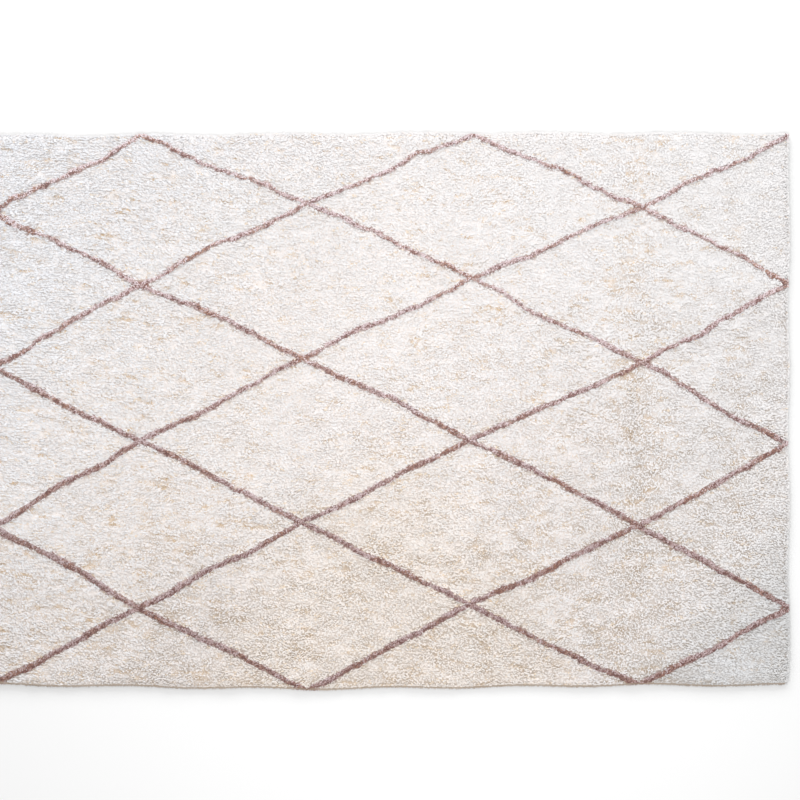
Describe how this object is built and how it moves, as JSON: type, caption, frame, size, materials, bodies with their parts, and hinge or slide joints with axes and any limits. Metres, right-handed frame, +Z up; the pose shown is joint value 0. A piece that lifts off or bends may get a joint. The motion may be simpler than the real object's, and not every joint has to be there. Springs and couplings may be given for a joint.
{
  "type": "cotton berber rug",
  "caption": "Flat rectangular tufted cotton rug with a thick off-white pile and a hand-drawn diamond lattice of dusty mauve lines, lying face up.",
  "frame": {"origin": "on the floor under the middle of the rug's bounding box", "axes": "+X along the long side, to the right in the picture; +Y across the rug, towards the top of the picture; +Z up out of the pile"},
  "size_m": [2.0038, 1.3996, 0.0224],
  "materials": {
    "natural_pile": "off-white cut cotton pile, matt, with warm ecru flecks",
    "mauve_pile": "dusty mauve-brown cotton pile in the lattice lines, matt",
    "ground_cloth": "plain woven ecru cotton backing with rows of stitches, matt"
  },
  "bodies": {
    "root": {"rug": "natural_pile"}
  },
  "joints": []
}
